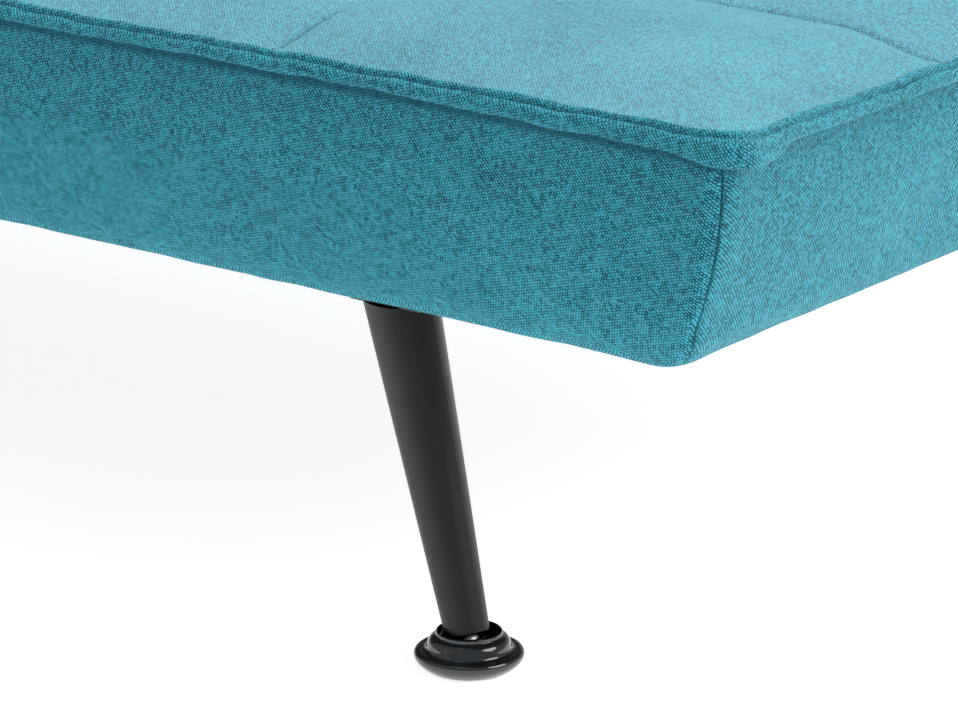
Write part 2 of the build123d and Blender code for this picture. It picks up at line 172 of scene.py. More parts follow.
class Nodes:
    """One material's node tree."""

    def __init__(self, name):
        self.material = bpy.data.materials.new(name)
        self.material.use_nodes = True
        self.tree = self.material.node_tree
        self.shader = next(n for n in self.tree.nodes if n.type == "BSDF_PRINCIPLED")

    def add(self, kind, settings=None, inputs=None, output=0):
        """A node of that type, with its settings and its sockets' values or links."""
        node = self.tree.nodes.new(kind)
        for key, value in (settings or {}).items():
            setattr(node, key, value)
        for key, value in (inputs or {}).items():
            self.feed(node.inputs[key], value)
        return Wire(self, node.outputs[output])

    def feed(self, socket, value):
        if isinstance(value, Wire):
            self.tree.links.new(value.socket, socket)
        elif hasattr(value, "__len__") and len(value) == 3 and socket.type == "RGBA":
            socket.default_value = (*value, 1.0)
        else:
            socket.default_value = value

    def finish(self, **values):
        """Sets the surface shader's sockets; underscores stand for spaces."""
        for key, value in values.items():
            self.feed(self.shader.inputs[key.replace("_", " ")], value)
        return self.material

    def place(self):
        """Object coordinates."""
        return self.add("ShaderNodeTexCoord", output="Object")

    def split(self, vector):
        node = self.tree.nodes.new("ShaderNodeSeparateXYZ")
        self.tree.links.new(vector.socket, node.inputs[0])
        return [Wire(self, node.outputs[i]) for i in range(3)]

    def join(self, x, y, z=0.0):
        return self.add("ShaderNodeCombineXYZ", None, {0: x, 1: y, 2: z})

    def cloud(self, vector, scale, detail=2.0, rough=0.5):
        """Soft noise from 0 to 1."""
        return self.add(
            "ShaderNodeTexNoise", None, {"Vector": vector, "Scale": scale, "Detail": detail, "Roughness": rough}, 0
        )

    def random(self, vector):
        return self.add("ShaderNodeTexWhiteNoise", {"noise_dimensions": "3D"}, {"Vector": vector}, 0)

    def mix(self, factor, a, b):
        """Colour a where factor is 0 and b where it is 1."""
        node = self.tree.nodes.new("ShaderNodeMix")
        node.data_type = "RGBA"
        self.feed(node.inputs[0], factor)
        self.feed(node.inputs[6], a)
        self.feed(node.inputs[7], b)
        return Wire(self, node.outputs[2])

    def bump(self, height, distance, strength):
        return self.add("ShaderNodeBump", None, {"Height": height, "Distance": distance, "Strength": strength})


def chenille(sizes, colours):
    """Upholstery: a diagonal chenille weave of short raised threads in soft patches, with a painted sheen that pales
    the top and, more faintly, the ends.
    """
    n = Nodes("Teal chenille")
    u, v, _ = n.split(n.add("ShaderNodeUVMap", {"uv_map": "Weave"}, None, "UV"))
    panel = n.add("ShaderNodeAttribute", {"attribute_name": "weave"}, None, "Fac")
    seam_and_shade = n.add("ShaderNodeAttribute", {"attribute_name": "seam_and_shade"}, None, "Fac")
    place = n.place()
    wobble = n.cloud(place, 55.0, 2.0) - 0.5
    across = (u + v) / (2.0 * sizes.thread) + wobble * 0.9
    row = across.floor()
    along = (u - v) / (2.3 * sizes.thread) + row * 0.5 + wobble * 0.6
    dash = along.floor()
    ridge = (1.0 - abs(across.fraction() * 2.0 - 1.0)) * 1.7
    float_ = (1.0 - abs(along.fraction() * 2.0 - 1.0)) * 2.6
    thread = ridge.low_of(1.0) * float_.low_of(1.0)
    shade = n.random(n.join(row, dash))
    fuzz = n.cloud(place, 950.0, 2.0, 0.7)
    nap_and_sheen = n.cloud(place, 9.0, 4.0, 0.62)
    streak = n.cloud(place, 34.0, 3.0, 0.6)
    crisp = 0.30 + panel * 0.62
    light = 0.32 + (thread - 0.55) * crisp * 2.2 + (shade - 0.5) * crisp * 1.7
    light = light + (fuzz - 0.5) * 2.8 + (nap_and_sheen - 0.5) * 0.45 + (streak - 0.5) * 0.25
    colour = n.mix(light.ramp(-0.25, 0.95), colours.cloth_dark, colours.cloth_light)
    # Painted sheen: mixes the pale colour in over the whole top and at a quarter of that on the ends, in soft patches;
    # none on the long sides
    painted_sheen = (1.0 - panel) * (1.0 - panel) * (0.10 + nap_and_sheen * 0.14)
    colour = n.mix(painted_sheen, colour, colours.nap_and_sheen)
    # Painted shade in the sunk stitched lines and the welt's groove, and painted shadow under the flange's lip: the
    # cloth is darkened towards the dark thread colour
    colour = n.mix(seam_and_shade.ramp(0.5, 0.98) * 0.80, colour, colours.cloth_dark)
    height = thread * crisp + (shade - 0.5) * 0.4 * crisp + fuzz * 0.5
    return n.finish(
        Base_Color=colour,
        Roughness=0.94,
        Specular_IOR_Level=0.10,
        Sheen_Weight=0.12,
        Sheen_Roughness=0.42,
        Sheen_Tint=(0.55, 0.86, 0.92),
        Normal=n.bump(height, 0.00055, 0.75),
    )


def black_paint(name, colour, rough):
    """Powder coat with a fine orange peel and faint handling marks."""
    n = Nodes(name)
    place = n.place()
    peel = n.cloud(place, 900.0, 2.0)
    smear = n.cloud(place, 26.0, 4.0, 0.6)
    shade = n.mix(smear.ramp(0.3, 0.8) * 0.5, colour, tuple(c * 1.7 for c in colour))
    return n.finish(
        Base_Color=shade,
        Roughness=rough + (smear - 0.5) * 0.10 + (peel - 0.5) * 0.06,
        Specular_IOR_Level=0.36,
        Normal=n.bump(peel, 0.00012, 0.35),
    )


def glossy_plastic():
    """Moulded black plastic with a high gloss, faint flow marks and fine wipe scratches."""
    n = Nodes("Glossy black plastic")
    place = n.place()
    flow = n.cloud(place, 60.0, 2.0)
    wipe = n.cloud(place, 420.0, 3.0, 0.7)
    return n.finish(
        Base_Color=n.mix(flow * 0.6, (0.006, 0.006, 0.007), (0.013, 0.012, 0.013)),
        Roughness=0.075 + wipe.ramp(0.55, 0.9) * 0.09,
        Specular_IOR_Level=0.62,
        Coat_Weight=0.35 + flow * 0.1,
        Coat_Roughness=0.04,
        Normal=n.bump(flow, 0.0002, 0.2),
    )


def zinc_steel():
    """Zinc-plated pressed steel: cloudy plating with fine grinding lines."""
    n = Nodes("Zinc-plated steel")
    place = n.place()
    x, y, z = n.split(place)
    lines = n.cloud(n.join(x * 30.0, y * 900.0, z * 900.0), 1.0, 2.0)
    cloudy = n.cloud(place, 120.0, 4.0, 0.6)
    return n.finish(
        Base_Color=n.mix(cloudy.ramp(0.3, 0.75), (0.40, 0.41, 0.42), (0.60, 0.60, 0.58)),
        Metallic=0.95,
        Roughness=0.30 + cloudy * 0.16 + lines * 0.08,
        Normal=n.bump(lines, 0.00006, 0.4),
    )


def wood(name, colour, scale):
    """Planed pine with growth rings drawn out along the board."""
    n = Nodes(name)
    x, y, z = n.split(n.place())
    warp = n.cloud(n.join(x * 1.4, y * 1.4, z * 6.0), 5.0, 3.0)
    rings = ((x + y + z * 3.0) * scale + warp * 5.0).fraction()
    grain = n.cloud(n.join(x * 18.0, y * 60.0, z * 260.0), 3.0, 3.0)
    dark = tuple(c * 0.62 for c in colour)
    tone = (rings.ramp(0.1, 0.95) * 0.6 + grain * 0.4).ramp(0.2, 0.9)
    return n.finish(
        Base_Color=n.mix(tone, colour, dark),
        Roughness=0.55 + grain * 0.2,
        Normal=n.bump(grain, 0.0002, 0.4),
    )


def lining_cloth():
    """Black spun-bonded lining with its embossed dot pattern."""
    n = Nodes("Black lining")
    x, y, z = n.split(n.place())
    pitch = 0.0022
    a = abs(((x + y + z) / pitch).fraction() - 0.5)
    b = abs(((x - y - z) / pitch).fraction() - 0.5)
    dots = (a + b).ramp(0.25, 0.5)
    fibre = n.cloud(n.join(x, y, z), 700.0, 4.0, 0.7)
    return n.finish(
        Base_Color=n.mix(fibre.ramp(0.2, 0.8), (0.010, 0.010, 0.011), (0.028, 0.028, 0.030)),
        Roughness=0.78 + fibre * 0.15,
        Normal=n.bump(dots * 0.7 + fibre * 0.5, 0.0003, 0.6),
    )


def plain_solid(name, low, high, rough, grain_scale, depth):
    """Rubber, foam or moulded plastic with a fine grain."""
    n = Nodes(name)
    place = n.place()
    grain = n.cloud(place, grain_scale, 3.0, 0.65)
    patch = n.cloud(place, 40.0, 2.0)
    return n.finish(
        Base_Color=n.mix((grain * 0.6 + patch * 0.4).ramp(0.25, 0.8), low, high),
        Roughness=rough + (grain - 0.5) * 0.15,
        Normal=n.bump(grain, depth, 0.6),
    )


def finishes(scene):
    """Every finish, by the record's material slot."""
    sizes = scene.sofa_sizes
    colours = scene.sofa_colours
    black = tuple(colours.black)
    timber = tuple(colours.wood)
    return {
        "upholstery": chenille(sizes, colours),
        "foam": plain_solid("Foam", (0.72, 0.60, 0.34), (0.86, 0.76, 0.50), 0.9, 900.0, 0.0006),
        "lining": lining_cloth(),
        "zinc_steel": zinc_steel(),
        "frame_paint": black_paint("Underframe paint", black, 0.46),
        "leg_paint": black_paint("Leg paint", tuple(c * 0.95 for c in black), 0.40),
        "glide_plastic": glossy_plastic(),
        "bumper_rubber": plain_solid("Rubber", (0.010, 0.010, 0.010), (0.030, 0.029, 0.028), 0.8, 500.0, 0.0002),
        "plug_plastic": plain_solid("Plug plastic", (0.014, 0.014, 0.015), (0.030, 0.030, 0.031), 0.5, 1200.0, 0.0001),
        "slat_wood": wood("Slat wood", timber, 38.0),
        "frame_wood": wood("Frame wood", tuple(c * 0.9 for c in timber), 26.0),
    }


# ---------------------------------------------------------------- shared making
FINISH_NAMES = {}


def deselect():
    if bpy.context.object and bpy.context.object.mode != "OBJECT":
        bpy.ops.object.mode_set(mode="OBJECT")
    bpy.ops.object.select_all(action="DESELECT")


def pick(obj):
    """Only this object selected and active."""
    deselect()
    obj.select_set(True)
    bpy.context.view_layer.objects.active = obj


def apply_modifier(obj, kind, **settings):
    pick(obj)
    modifier = obj.modifiers.new(kind.title(), kind)
    for key, value in settings.items():
        setattr(modifier, key, value)
    bpy.ops.object.modifier_apply(modifier=modifier.name)


def face_outwards(obj):
    pick(obj)
    bpy.ops.object.mode_set(mode="EDIT")
    bpy.ops.mesh.select_all(action="SELECT")
    bpy.ops.mesh.normals_make_consistent(inside=False)
    bpy.ops.object.mode_set(mode="OBJECT")


def own_copy(pattern, name):
    """A copy of a piece, with its own mesh."""
    obj = pattern.copy()
    obj.data = pattern.data.copy()
    obj.name = name
    bpy.context.scene.collection.objects.link(obj)
    return obj


def dress(obj, slot, body):
    """The finish, slot and body of a finished piece."""
    obj.data.materials.clear()
    obj.data.materials.append(bpy.data.materials[FINISH_NAMES[slot]])
    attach(obj, body)


def soft_step(value, low, high):
    t = min(1.0, max(0.0, (value - low) / (high - low)))
    return t * t * (3 - 2 * t)


# ---------------------------------------------------------------- padded covers
# Cross-section of the edge, in millimetres: out from the welt's line, and up from it. The flange is two fabric
# edges turned out and sewn through, so it has a ridge, a stitched groove and a second ridge that hangs over.
OUTER_WELT = [
    (-8, -1), (-6.6, 2.4), (-4.6, 4.4), (-2.2, 4.2), (-0.9, 0.4), (0.8, 1.6), (3.2, 1.5), (5.2, -0.6),
    (5.4, -4.2), (3.4, -6.0), (-3.4, -5.4), (-3.8, -9.0),
]
END_WELT = [
    (-9, -1), (-7.4, 2.8), (-4.8, 5.0), (-1.8, 4.2), (-0.4, 0.4), (1.2, 2.4), (3.8, 2.2), (5.4, -0.8),
    (4.8, -4.8), (0.8, -6.8), (-9.0, -6.6), (-12.0, -9.8),
]
HINGE_WELT = [
    (-22, 12), (-20, 13.2), (-18, 13.4), (-16, 12.4), (-15, 10.6), (-13.5, 10.8), (-11.6, 9.4), (-10.4, 7.2),
    (-9.6, 4.8), (-8.4, 1.8), (-7.0, -1.0), (-4.4, -7.0),
]
# Painted shadow under the flange's lip: how strongly each ring of the cross-section is darkened; the ring at full
# strength is also creased
PAINTED_SHADOW_UNDER_LIP = {8: 0.6, 9: 0.9, 10: 1.0, 11: 0.85}
LIP_RING = 4
PANEL_ROWS = 9
ROUND_ROWS = 5
UNDER_ROWS = 3
PANEL_CURL = 2.2
# In millimetres
PANEL_SWELL = 1.6
HEM_RISE = 4.0
HINGE_LEAN = 1.0
RIM_RISE = -1.0
TOP_RISE = 11.0
TOP_RISE_AT_HINGE = 12.0
# Radius of each bottom edge, and where the cloth ends under the frame, out from the welt's line
OUTER_ROUND, OUTER_UNDER = 23.0, -91.0
END_ROUND, END_UNDER = 36.0, -116.0
HINGE_ROUND, HINGE_UNDER = 20.0, -46.0
# Each loose point keeps this share of the filling's swell, up to the cap
SWELL_SHARE = 0.35
# In metres
SWELL_CAP = 0.010
CORNER_SEAM_HELD = 0.02
CROWN = 0.008
QUILT_STEP = 0.014
BESIDE_SEAM = 0.004
SAME_PLACE = 0.0001
SEAM_SINK = 0.0045
SIDE_SEAM_SINK = 0.0016
LIP_DROP = 0.0030
PUCKER_PITCH = 0.0052
PUCKER_DEPTH = 0.0016
CORNER_PUSH = 0.0020
CORNER_DROP = 0.0034


def side_profile(welt, thickness, lean, radius, under):
    """The whole cross-section of one side: welt, panel, rounded bottom edge and underside."""
    points = list(welt)
    top_out, top_up = welt[-1]
    bottom = -thickness
    straight_low = bottom + radius
    for i in range(1, PANEL_ROWS + 1):
        t = i / PANEL_ROWS
        swell = PANEL_SWELL * math.sin(math.pi * t)
        out = top_out + (-lean - top_out) * t**PANEL_CURL + swell
        points.append((out, top_up + (straight_low - top_up) * t))
    for i in range(1, ROUND_ROWS + 1):
        angle = i / ROUND_ROWS * math.pi / 2
        points.append((-lean - radius * (1 - math.cos(angle)), bottom + radius * (1 - math.sin(angle))))
    edge = -lean - radius
    for i in range(1, UNDER_ROWS + 1):
        points.append((edge + (under - edge) * i / UNDER_ROWS, bottom + HEM_RISE * (i == UNDER_ROWS)))
    return points


def grid_lines(length, blocks, corner):
    """Positions across a quilted panel: close beside each line of stitching and at the corners, even between."""
    pitch = length / blocks
    steps = round(pitch / QUILT_STEP)
    lines = set()
    for b in range(blocks):
        start = b * pitch
        for i in range(steps + 1):
            lines.add(round(start + pitch * i / steps, 6))
        if b:
            lines.add(round(start - BESIDE_SEAM, 6))
            lines.add(round(start + BESIDE_SEAM, 6))
    for i in (1, 2, 3):
        lines.add(round(corner * i / 4, 6))
        lines.add(round(length - corner * i / 4, 6))
    return sorted(lines)


class Slab:
    """One quilted cover, worked out lying flat. across runs from the outer long side (0) to the hinge side."""

    def __init__(self, sizes, depth, rows, thickness):
        self.length = SEAT_HIGH.x - SEAT_LOW.x
        self.depth = depth
        self.rows = rows
        self.columns = sizes.columns
        self.corner = sizes.corner
        self.welt_z = SEAT_HIGH.z - sizes.welt_drop
        drop = (thickness - sizes.welt_drop) / MM
        self.profiles = {
            "outer": side_profile(OUTER_WELT, drop, sizes.front_lean / MM, OUTER_ROUND, OUTER_UNDER),
            "end": side_profile(END_WELT, drop, sizes.end_lean / MM, END_ROUND, END_UNDER),
            "hinge": side_profile(HINGE_WELT, drop, HINGE_LEAN, HINGE_ROUND, HINGE_UNDER),
        }
        self.xs = [x - self.length / 2 for x in grid_lines(self.length, self.columns, self.corner)]
        self.ts = grid_lines(self.depth, rows, self.corner)
        self.verts = []
        self.faces = []
        self.held = []
        self.seam_and_shade = []
        self.weave = []
        self.loose = []

    def rounded(self, x, t):
        """Carries the square grid's corners onto the rounded outline."""
        half = self.length / 2
        a = (abs(x) - (half - self.corner)) / self.corner
        to_side = min(t, self.depth - t)
        b = (self.corner - to_side) / self.corner
        if a <= 0 or b <= 0:
            return x, t
        scale = max(a, b) / math.hypot(a, b)
        new_x = math.copysign(half - self.corner + a * scale * self.corner, x)
        side = self.corner - b * scale * self.corner
        return new_x, side if t < self.depth / 2 else self.depth - side

    def ring_point(self, x, t, ring):
        """A point of the outline moved to that step of the cross-section."""
        half = self.length / 2
        outer = self.profiles["outer"][ring]
        end = self.profiles["end"][ring]
        hinge = self.profiles["hinge"][ring]
        nx = max(0.0, (abs(x) - (half - self.corner)) / self.corner)
        end_share = min(1.0, nx * nx)
        side = outer if t < self.depth / 2 else hinge
        new_x = x * (half + end[0] * MM) / half
        span = self.depth + (outer[0] + hinge[0]) * MM
        new_t = t * span / self.depth - outer[0] * MM
        up = end[1] * end_share + side[1] * (1 - end_share)
        return Vector((new_x, new_t, self.welt_z + up * MM)), end_share

    def crown(self, x, t, height):
        """Height of a block's crown above its seams."""
        u = ((x + self.length / 2) / self.length * self.columns) % 1.0 * 2 - 1
        v = (t / self.depth * self.rows) % 1.0 * 2 - 1
        return height * (1 - abs(u) ** 2.6) * (1 - abs(v) ** 2.6)

    def on_seam(self, x, t):
        pitch_x = self.length / self.columns
        pitch_t = self.depth / self.rows
        near_x = abs((x + self.length / 2 + pitch_x / 2) % pitch_x - pitch_x / 2)
        near_t = abs((t + pitch_t / 2) % pitch_t - pitch_t / 2)
        inner_x = abs(x) < self.length / 2 - pitch_x / 2
        inner_t = pitch_t / 2 < t < self.depth - pitch_t / 2
        return (near_x < SAME_PLACE and inner_x) or (near_t < SAME_PLACE and inner_t)

    def top_point(self, x, t, crown):
        """A point of the quilted top: crowned blocks between sunken seams, down to the welt all round."""
        x, t = self.rounded(x, t)
        base, _ = self.ring_point(x, t, 0)
        to_edge = min(t, self.length / 2 - abs(x))
        to_hinge = self.depth - t
        up = RIM_RISE + TOP_RISE * soft_step(to_edge, 0.0, 0.075)
        up += (TOP_RISE_AT_HINGE - up) * (1 - soft_step(to_hinge, 0.0, 0.07))
        base.z = self.welt_z + up * MM + self.crown(x, t, crown)
        return base

    def add_vertex(self, point, held, seam_and_shade=0.0, weave=0.0, loose=SWELL_SHARE):
        self.verts.append(point)
        self.held.append(held)
        self.seam_and_shade.append(seam_and_shade)
        self.weave.append(weave)
        self.loose.append(loose)
        return len(self.verts) - 1

    def build_top(self, crown):
        grid = []
        last_i = len(self.xs) - 1
        last_j = len(self.ts) - 1
        for i, x in enumerate(self.xs):
            column = []
            for j, t in enumerate(self.ts):
                rim = i in (0, last_i) or j in (0, last_j)
                # Quilting lines take the full mark: sunk, creased and darkened as painted shade
                seam_and_shade = self.on_seam(x, t)
                point = self.top_point(x, t, crown)
                column.append(self.add_vertex(point, rim or seam_and_shade, 1.0 if seam_and_shade else 0.0))
            grid.append(column)
        for i in range(last_i):
            for j in range(last_j):
                self.faces.append((grid[i][j], grid[i + 1][j], grid[i + 1][j + 1], grid[i][j + 1]))
        return grid

    def outline(self, grid):
        """The top's rim in order, as vertex numbers and places on the outline."""
        last_i = len(self.xs) - 1
        last_j = len(self.ts) - 1
        order = [(i, 0) for i in range(last_i)]
        order += [(last_i, j) for j in range(last_j)]
        order += [(i, last_j) for i in range(last_i, 0, -1)]
        order += [(0, j) for j in range(last_j, 0, -1)]
        return [grid[i][j] for i, j in order], [self.rounded(self.xs[i], self.ts[j]) for i, j in order]

    def build_sides(self, grid):
        rim, places = self.outline(grid)
        count = len(rim)
        corner_places = [self.rounded(sx * self.length / 2, t) for sx in (-1, 1) for t in (0.0, self.depth)]
        rings = len(self.profiles["outer"])
        welt_rings = len(OUTER_WELT)
        previous = rim
        for ring in range(1, rings):
            current = []
            for k, (x, t) in enumerate(places):
                point, end_share = self.ring_point(x, t, ring)
                near = min(math.hypot(x - cx, t - ct) for cx, ct in corner_places)
                is_corner = near < SAME_PLACE
                panel = welt_rings <= ring <= welt_rings + PANEL_ROWS + ROUND_ROWS - 2
                # The mark is painted shade along the corner's stitched line and the welt's groove, and painted shadow
                # under the lip; at full strength it also creases the line
                seam_and_shade = 1.0 if is_corner and ring >= welt_rings - 1 else 0.0
                if ring == LIP_RING:
                    seam_and_shade = 1.0
                if ring in PAINTED_SHADOW_UNDER_LIP:
                    seam_and_shade = max(seam_and_shade, PAINTED_SHADOW_UNDER_LIP[ring])
                swells = panel and near > CORNER_SEAM_HELD and t < self.depth / 2
                loose = SWELL_SHARE if swells else 0.0
                # 1 on the long sides and 0.5 on the ends (the top keeps 0): it sets how crisp the weave is and how
                #                                                            much painted sheen each panel gets
                weave = 1.0 - 0.5 * end_share
                current.append(self.add_vertex(point, not panel or is_corner, seam_and_shade, weave, loose))
            for k in range(count):
                m = (k + 1) % count
                self.faces.append((previous[k], current[k], current[m], previous[m]))
            previous = current

    def to_object(self, name, place):
        """The mesh, with its marks for stitched lines and painted shade, and the points that the sewing holds."""
        mesh = bpy.data.meshes.new(name)
        mesh.from_pydata([place @ v for v in self.verts], [], self.faces)
        for key, values in (("seam_and_shade", self.seam_and_shade), ("weave", self.weave)):
            attribute = mesh.attributes.new(key, "FLOAT", "POINT")
            attribute.data.foreach_set("value", values)
        obj = bpy.data.objects.new(name, mesh)
        bpy.context.scene.collection.objects.link(obj)
        group = obj.vertex_groups.new(name="held")
        group.add([i for i, held in enumerate(self.held) if held], 1.0, "REPLACE")
        face_outwards(obj)
        return obj


def inflate(obj, loose):
    """Blows the sewn cover up against its seams, with no gravity, and keeps each point's share of the swell."""
    scene = bpy.context.scene
    before = [v.co.copy() for v in obj.data.vertices]
    modifier = obj.modifiers.new("Cloth", "CLOTH")
    cloth = modifier.settings
    cloth.use_pressure = True
    cloth.uniform_pressure_force = 4.0
    cloth.vertex_group_mass = "held"
    cloth.quality = 6
    cloth.mass = 0.3
    cloth.tension_stiffness = 15
    cloth.compression_stiffness = 15
    cloth.bending_stiffness = 0.6
    cloth.shrink_min = -0.012
    cloth.effector_weights.gravity = 0.0
    modifier.point_cache.frame_start = 1
    modifier.point_cache.frame_end = 20
    for number in range(1, 21):
        scene.frame_set(number)
    shaped = obj.evaluated_get(bpy.context.evaluated_depsgraph_get()).to_mesh()
    after = [v.co.copy() for v in shaped.vertices]
    obj.modifiers.remove(modifier)
    scene.frame_set(1)
    for vertex, start, end, share in zip(obj.data.vertices, before, after, loose):
        move = (end - start) * share
        if move.length > SWELL_CAP:
            move *= SWELL_CAP / move.length
        vertex.co = start + move
    obj.data.update()


def crease_seams(obj):
    """Keeps the sewn lines sharp when the surface is smoothed."""
    seam_and_shade = [d.value for d in obj.data.attributes["seam_and_shade"].data]
    crease = obj.data.attributes.new("crease_edge", "FLOAT", "EDGE")
    for edge in obj.data.edges:
        a, b = edge.vertices
        if seam_and_shade[a] > 0.99 and seam_and_shade[b] > 0.99:
            crease.data[edge.index].value = 0.8


def close_underside(obj):
    """Closes the cover where its edges are stapled under the frame, beneath the lining."""
    pick(obj)
    bpy.ops.object.mode_set(mode="EDIT")
    bpy.ops.mesh.select_all(action="DESELECT")
    bpy.ops.mesh.select_non_manifold()
    bpy.ops.mesh.edge_face_add()
    face_outwards(obj)


def settle_cloth(obj, slab, unplace, place):
    """Fine shape after smoothing: sunken stitching, uneven flange, puckers by the corners, soft waves."""
    seam_and_shade = [d.value for d in obj.data.attributes["seam_and_shade"].data]
    half = slab.length / 2
    normals = [v.normal.copy() for v in obj.data.vertices]
    for vertex, normal, mark in zip(obj.data.vertices, normals, seam_and_shade):
        flat = unplace @ vertex.co
        facing = unplace.to_3x3() @ normal
        on_top = facing.z > 0.6 and flat.z > slab.welt_z - 0.002
        from_end = half - abs(flat.x)
        inner = flat.y > 0.02 and from_end > 0.02
        if on_top and inner:
            flat.z -= SEAM_SINK * soft_step(mark, 0.3, 1.0)
        side_on = abs(facing.z) < 0.5 and flat.z < slab.welt_z - 0.012
        if side_on:
            flat -= facing * SIDE_SEAM_SINK * soft_step(mark, 0.6, 1.0)
        wave = noise.noise(flat * 9.0) * 0.0012 + noise.noise(flat * 26.0) * 0.0005
        wave *= 1 - soft_step(-facing.z, 0.3, 0.8)
        flat += facing * wave
        to_rim = min(flat.y, from_end)
        in_flange = to_rim < 0.012 and abs(flat.z - slab.welt_z) < 0.009
        if in_flange:
            along = Vector((flat.x, flat.y, 0.0))
            flat.z += noise.noise(along * 38.0) * 0.0013
            flat += facing * noise.noise(along * 75.0 + Vector((3.1, 0, 0))) * 0.0009
        if flat.y < 0.03:
            flat.z -= LIP_DROP * (1 - soft_step(from_end, 0.02, 0.30)) * lip_share(slab.welt_z - flat.z)
        corner = Vector((from_end, flat.y))
        near = corner.length
        if near < 0.075 and side_on and flat.y < slab.depth / 2:
            below = slab.welt_z - flat.z
            fade = math.exp(-below / 0.028) * (1 - soft_step(near, 0.035, 0.075))
            ripple = math.sin((flat.y - from_end) / PUCKER_PITCH)
            flat += facing * ripple * PUCKER_DEPTH * fade
        vertex.co = place @ flat
    obj.data.update()


def lip_share(below):
    """How far a point moves with the flange's lip: fully at the lip, fading out down the panel."""
    return soft_step(below, -0.001, 0.004) * (1 - soft_step(below, 0.008, 0.034))


def map_weave(obj, unplace):
    """Lays the weave on each panel in metres, cut off square at the seams."""
    layer = obj.data.uv_layers.new(name="Weave")
    turn = unplace.to_3x3()
    flat = [unplace @ v.co for v in obj.data.vertices]
    for face in obj.data.polygons:
        n = turn @ face.normal
        if abs(n.z) > max(abs(n.x), abs(n.y)):
            a, b = 0, 1
        elif abs(n.x) > abs(n.y):
            a, b = 1, 2
        else:
            a, b = 0, 2
        for loop in face.loop_indices:
            point = flat[obj.data.loops[loop].vertex_index]
            layer.data[loop].uv = (point[a], point[b])


def gather_corner(obj, slab, unplace, place):
    """The flange folds over on itself at the two outer corners, deeper and thicker than along the edges."""
    half = slab.length / 2
    for vertex in obj.data.vertices:
        flat = unplace @ vertex.co
        from_end = half - abs(flat.x)
        reach = math.hypot(from_end - 0.004, flat.y - 0.002)
        up = flat.z - slab.welt_z
        if reach < 0.045 and -0.040 < up < 0.007:
            share = 1 - soft_step(reach, 0.012, 0.040)
            hang = lip_share(-up)
            outward = Vector((math.copysign(1, flat.x) * 0.5, -0.9, 0)).normalized()
            flat += outward * CORNER_PUSH * share * hang
            flat.z -= CORNER_DROP * share * hang
            vertex.co = place @ flat
    obj.data.update()


def make_cover(name, sizes, depth, rows, thickness, place):
    """A quilted cover, sewn, filled and smoothed. place carries the flat slab to where it stands."""
    slab = Slab(sizes, depth, rows, thickness)
    grid = slab.build_top(CROWN)
    slab.build_sides(grid)
    obj = slab.to_object(name, place)
    inflate(obj, slab.loose)
    crease_seams(obj)
    apply_modifier(obj, "SUBSURF", levels=1, render_levels=1)
    close_underside(obj)
    unplace = place.inverted()
    gather_corner(obj, slab, unplace, place)
    settle_cloth(obj, slab, unplace, place)
    map_weave(obj, unplace)
    pick(obj)
    bpy.ops.object.shade_smooth()
    obj.vertex_groups.clear()
    return obj


def flat_place(y_outer, direction):
    """Carries the slab's own frame (x, across, z) to the sofa laid flat."""
    return Matrix(((1, 0, 0, 0), (0, direction, 0, y_outer), (0, 0, 1, 0), (0, 0, 0, 1)))


def raised():
    """Carries the flat backrest up to its place at rest."""
    turn = Matrix.Rotation(LAID_FLAT, 4, "X")
    return Matrix.Translation(PIVOT) @ turn @ Matrix.Translation(-PIVOT)


def back_place(sizes):
    gap = 2 * (PIVOT.y - SEAT_HIGH.y)
    return raised() @ flat_place(SEAT_HIGH.y + gap + sizes.back_height, -1)


class SOFA_OT_seat_cover(bpy.types.Operator):
    """Sew and fill the quilted seat cover"""

    bl_idname = "sofa.seat_cover"
    bl_label = "Seat cover"

    def execute(self, context):
        sizes = context.scene.sofa_sizes
        depth = SEAT_HIGH.y - SEAT_LOW.y
        thickness = SEAT_HIGH.z - SEAT_LOW.z
        obj = make_cover("seat_cushion", sizes, depth, sizes.seat_rows, thickness, flat_place(SEAT_LOW.y, 1))
        dress(obj, "upholstery", "root")
        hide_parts("seat_cover", "seat_foam_pad", "seat_edge_foam")
        return {"FINISHED"}


class SOFA_OT_back_cover(bpy.types.Operator):
    """Sew and fill the quilted backrest cover"""

    bl_idname = "sofa.back_cover"
    bl_label = "Back cover"

    def execute(self, context):
        sizes = context.scene.sofa_sizes
        obj = make_cover(
            "back_cushion", sizes, sizes.back_height, sizes.back_rows, sizes.back_thickness, back_place(sizes)
        )
        dress(obj, "upholstery", "backrest")
        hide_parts("back_cover", "back_foam_pad", "back_edge_foam")
        return {"FINISHED"}


# ---------------------------------------------------------------- linings
LINING_THICK = 0.0005
LINING_SAG = 0.0022
LINING_PULL = 0.0005
LINING_PULL_WAVE = 0.0095
LINING_MARGIN = 0.05
BACK_LINING_FROM_ENDS = 0.110
BACK_LINING_FROM_HINGE = 0.040
BACK_LINING_FROM_TOP = 0.085
STAPLE_SPACING = 0.045
STAPLE_INSET = 0.009
STAPLE_WIRE = 0.0007
STAPLE_WIDTH = 0.011
STAPLE_STANDS_OFF = 0.0012


